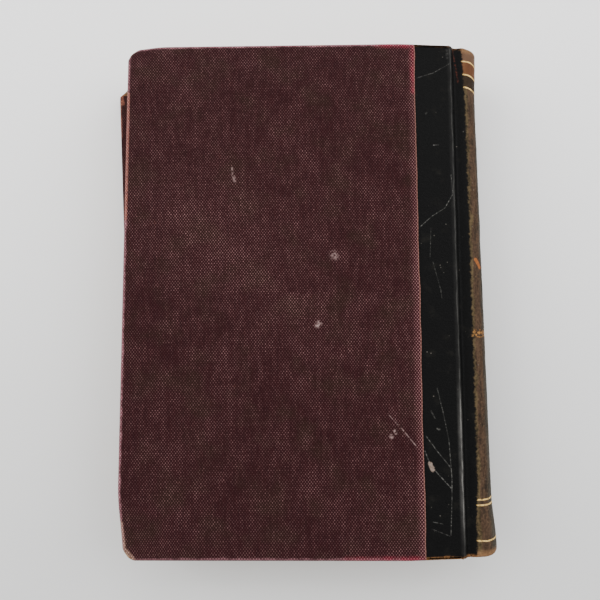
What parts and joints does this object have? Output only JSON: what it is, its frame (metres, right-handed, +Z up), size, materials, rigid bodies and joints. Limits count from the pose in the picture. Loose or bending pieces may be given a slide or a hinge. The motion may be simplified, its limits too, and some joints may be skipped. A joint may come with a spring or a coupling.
{
  "type": "hardback book",
  "caption": "Old quarter-leather hardback book with maroon cloth sides and a rounded black leather spine, lying on its front cover; both covers open.",
  "frame": {"origin": "on the surface the book lies on, under the middle of the closed book", "axes": "+X from the fore edge to the spine, +Y from tail to head, +Z up out of the rear cover"},
  "size_m": [0.1434, 0.1932, 0.028],
  "materials": {
    "cloth": "matte",
    "leather": "satin",
    "board": "matte",
    "pages": "matte",
    "endpaper": "matte",
    "lining": "matte",
    "stiffener": "matte",
    "band": "matte"
  },
  "bodies": {
    "text_block": {"pages": "pages", "mull_lining": "lining", "spine_leather": "leather", "spine_inlay": "stiffener", "head_band": "band", "tail_band": "band"},
    "rear_cover": {"rear_board": "board", "rear_cloth": "cloth", "rear_infill": "endpaper", "rear_endpaper": "endpaper"},
    "front_cover": {"front_board": "board", "front_cloth": "cloth", "front_infill": "endpaper", "front_endpaper": "endpaper"}
  },
  "joints": [
    {"name": "rear_hinge", "type": "hinge", "parent": "text_block", "child": "rear_cover", "pos_m": [0.06452, -0.00177, 0.02635], "axis": [0.0265, 0.9996, 0], "range_deg": [0, 179], "deforming": ["spine_leather", "mull_lining", "rear_endpaper"]},
    {"name": "front_hinge", "type": "hinge", "parent": "text_block", "child": "front_cover", "pos_m": [0.05852, 0.00177, 0.00165], "axis": [0.0265, -0.9996, 0], "range_deg": [0, 179], "deforming": ["spine_leather", "mull_lining", "front_endpaper"]}
  ]
}
